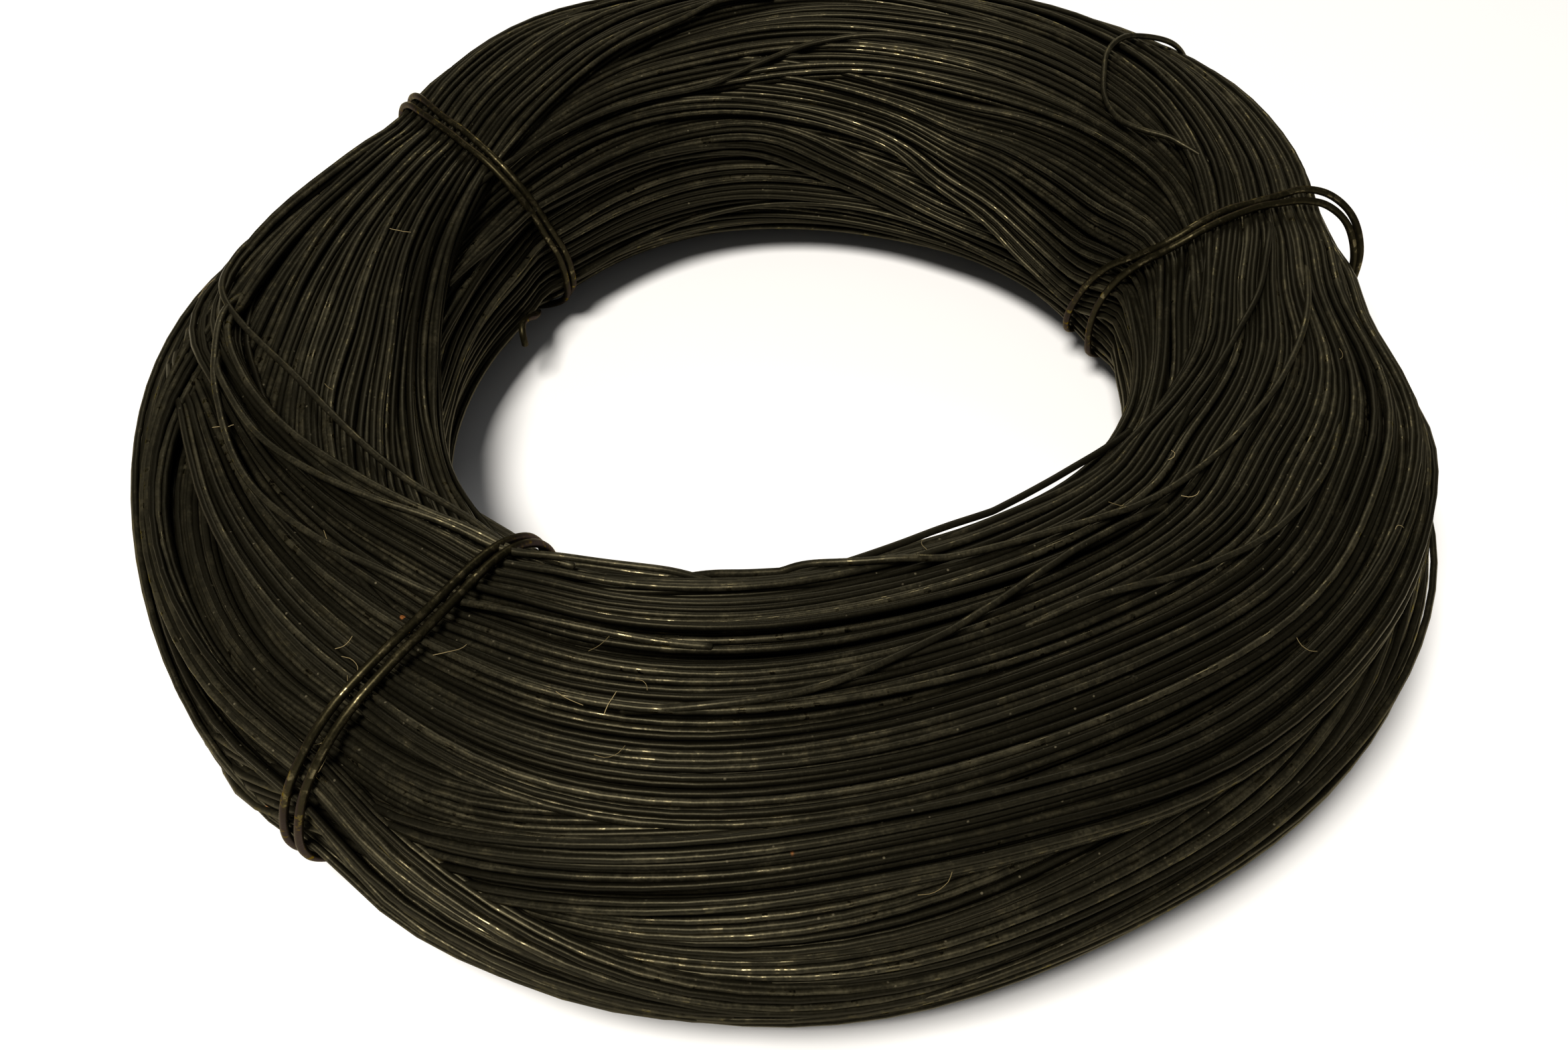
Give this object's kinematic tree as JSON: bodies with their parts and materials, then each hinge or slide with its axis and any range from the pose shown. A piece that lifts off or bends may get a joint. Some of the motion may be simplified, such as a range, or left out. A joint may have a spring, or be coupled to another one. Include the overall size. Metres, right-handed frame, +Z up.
{
  "type": "coil of binding wire",
  "caption": "Round flat-lying coil of soft black annealed steel tie wire with an open bore, held together by short wire ties wrapped round its section.",
  "frame": {"origin": "in the middle of the coil's box, at the level of its lower end, which lies on the floor", "axes": "+Z up along the bore, +X to the right in the picture's view and +Y away from the viewer"},
  "size_m": [0.306, 0.3314, 0.0671],
  "materials": {
    "annealed_wire": "black annealed oxide, slightly oily and satin, with specks of rust and dust",
    "tie_wire": "black annealed oxide, satin, rubbed a little brighter on its bends"
  },
  "bodies": {
    "root": {"wire_coil": "annealed_wire", "tie_right": "tie_wire", "tie_back_left": "tie_wire", "tie_front_left": "tie_wire"}
  },
  "joints": []
}
